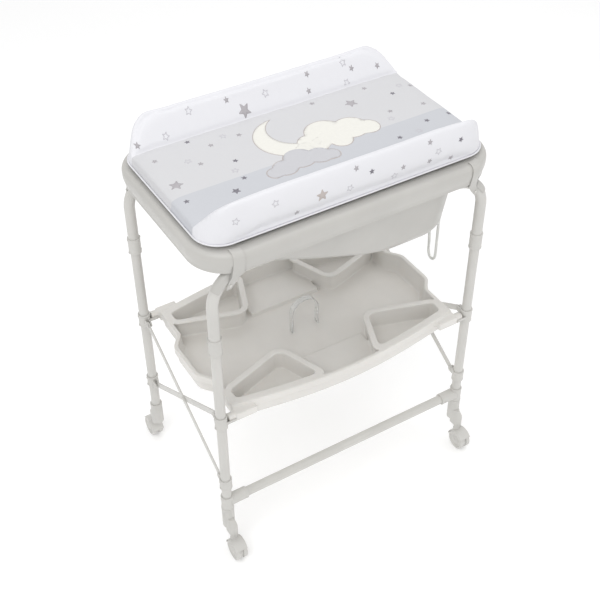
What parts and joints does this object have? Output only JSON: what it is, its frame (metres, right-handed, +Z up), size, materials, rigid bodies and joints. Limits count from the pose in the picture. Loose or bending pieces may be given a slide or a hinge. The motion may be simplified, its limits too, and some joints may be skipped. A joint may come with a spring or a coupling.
{
  "type": "changing table",
  "caption": "Baby changing table on casters: hinged padded top with raised sides over a bath tub, tube frame with side braces, moulded shelf tray and drain hose.",
  "frame": {"origin": "on the floor, under the middle of the frame", "axes": "+X along the length towards the drain end, +Y to the rear where the pad is hinged, +Z up"},
  "size_m": [0.749, 0.545, 1.045],
  "materials": {
    "painted_tube": "satin warm-white paint",
    "fitting": "moulded warm-white plastic",
    "tub_plastic": "satin-gloss moulded warm-white plastic",
    "tray_plastic": "moulded warm light-grey plastic",
    "pad_vinyl": "white coated cloth with a printed star pattern",
    "board": "painted fibreboard",
    "caster_plastic": "moulded light-grey plastic",
    "clear_plastic": "clear plastic",
    "hose_silicone": "soft translucent white silicone",
    "rivet_steel": "zinc-plated rivet"
  },
  "bodies": {
    "frame": {"front_bottom_bar": "painted_tube", "front_left_brace_collar": "fitting", "front_left_foot": "fitting", "front_left_leg": "painted_tube", "front_left_shelf_collar": "fitting", "front_left_sleeve": "fitting", "front_right_brace_collar": "fitting", "front_right_foot": "fitting", "front_right_leg": "painted_tube", "front_right_shelf_collar": "fitting", "front_right_sleeve": "fitting", "front_upper_tube": "painted_tube", "left_brace_rivet": "rivet_steel", "left_falling_brace": "painted_tube", "left_rising_brace": "painted_tube", "left_tee_joint": "fitting", "rear_left_brace_collar": "fitting", "rear_left_foot": "fitting", "rear_left_leg": "painted_tube", "rear_left_shelf_collar": "fitting", "rear_left_sleeve": "fitting", "rear_right_brace_collar": "fitting", "rear_right_foot": "fitting", "rear_right_leg": "painted_tube", "rear_right_shelf_collar": "fitting", "rear_right_sleeve": "fitting", "rear_upper_tube": "painted_tube", "right_brace_rivet": "rivet_steel", "right_falling_brace": "painted_tube", "right_rising_brace": "painted_tube", "right_tee_joint": "fitting"},
    "tub_unit": {"tub": "tub_plastic", "front_left_tub_bracket": "fitting", "front_right_tub_bracket": "fitting", "rear_left_tub_bracket": "fitting", "rear_right_tub_bracket": "fitting", "drain_outlet": "fitting", "drain_hose": "hose_silicone", "hose_clip": "fitting", "left_hinge_mount": "fitting", "right_hinge_mount": "fitting"},
    "pad": {"pad_cushion": "pad_vinyl", "pad_board": "board", "left_hinge_leaf": "fitting", "right_hinge_leaf": "fitting"},
    "plug": {"drain_plug": "fitting"},
    "shelf": {"shelf_tray": "tray_plastic", "bottle_hoop": "clear_plastic"},
    "front_left_caster": {"front_left_caster_fork": "caster_plastic"},
    "front_left_wheels": {"front_left_inner_wheel": "caster_plastic", "front_left_outer_wheel": "caster_plastic"},
    "front_right_caster": {"front_right_caster_fork": "caster_plastic"},
    "front_right_wheels": {"front_right_inner_wheel": "caster_plastic", "front_right_outer_wheel": "caster_plastic"},
    "rear_left_caster": {"rear_left_caster_fork": "caster_plastic"},
    "rear_left_wheels": {"rear_left_inner_wheel": "caster_plastic", "rear_left_outer_wheel": "caster_plastic"},
    "rear_right_caster": {"rear_right_caster_fork": "caster_plastic"},
    "rear_right_wheels": {"rear_right_inner_wheel": "caster_plastic", "rear_right_outer_wheel": "caster_plastic"}
  },
  "joints": [
    {"name": "tub_lift", "type": "slide", "parent": "frame", "child": "tub_unit", "axis": [0, 0, 1], "range_m": [0, 0.25]},
    {"name": "pad_hinge", "type": "hinge", "parent": "tub_unit", "child": "pad", "pos_m": [0, 0.2235, 0.9555], "axis": [-1, 0, 0], "range_deg": [0, 97]},
    {"name": "plug_pull", "type": "slide", "parent": "tub_unit", "child": "plug", "axis": [0, 0, 1], "range_m": [0, 0.03]},
    {"name": "shelf_lift", "type": "slide", "parent": "frame", "child": "shelf", "axis": [0, 0, 1], "range_m": [0, 0.045]},
    {"name": "front_left_swivel", "type": "hinge", "parent": "frame", "child": "front_left_caster", "pos_m": [-0.351, -0.229, 0.069], "axis": [0, 0, 1], "continuous": true},
    {"name": "front_left_roll", "type": "hinge", "parent": "front_left_caster", "child": "front_left_wheels", "pos_m": [-0.351, -0.245, 0.0275], "axis": [1, 0, 0], "continuous": true},
    {"name": "front_right_swivel", "type": "hinge", "parent": "frame", "child": "front_right_caster", "pos_m": [0.351, -0.229, 0.069], "axis": [0, 0, 1], "continuous": true},
    {"name": "front_right_roll", "type": "hinge", "parent": "front_right_caster", "child": "front_right_wheels", "pos_m": [0.351, -0.245, 0.0275], "axis": [1, 0, 0], "continuous": true},
    {"name": "rear_left_swivel", "type": "hinge", "parent": "frame", "child": "rear_left_caster", "pos_m": [-0.351, 0.229, 0.069], "axis": [0, 0, 1], "continuous": true},
    {"name": "rear_left_roll", "type": "hinge", "parent": "rear_left_caster", "child": "rear_left_wheels", "pos_m": [-0.351, 0.245, 0.0275], "axis": [1, 0, 0], "continuous": true},
    {"name": "rear_right_swivel", "type": "hinge", "parent": "frame", "child": "rear_right_caster", "pos_m": [0.351, 0.229, 0.069], "axis": [0, 0, 1], "continuous": true},
    {"name": "rear_right_roll", "type": "hinge", "parent": "rear_right_caster", "child": "rear_right_wheels", "pos_m": [0.351, 0.245, 0.0275], "axis": [1, 0, 0], "continuous": true}
  ]
}
